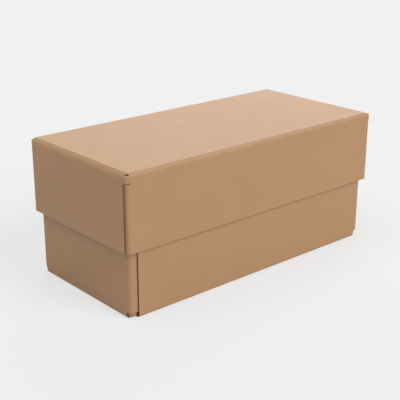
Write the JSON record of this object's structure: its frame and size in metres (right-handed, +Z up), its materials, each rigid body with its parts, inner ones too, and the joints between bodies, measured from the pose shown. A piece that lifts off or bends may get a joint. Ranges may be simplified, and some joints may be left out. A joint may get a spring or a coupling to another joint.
{
  "type": "cardboard box with lift-off lid",
  "caption": "Plain closed cardboard box: a deep open base under a shallower lid that lifts straight off, each folded from one sheet of board with glued corner flaps.",
  "frame": {"origin": "middle of the base's underside, on the surface the box stands on", "axes": "+X along the length, +Y across the width, +Z up through the lid's top"},
  "size_m": [0.33, 0.1554, 0.1415],
  "materials": {
    "base_board": "matt brown kraft board",
    "lid_board": "matt brown kraft board"
  },
  "bodies": {
    "base": {"base": "base_board"},
    "lid": {"lid": "lid_board"}
  },
  "joints": [
    {"name": "lid_lift", "type": "slide", "parent": "base", "child": "lid", "axis": [0, 0, 1], "range_m": [0, 0.09]}
  ]
}
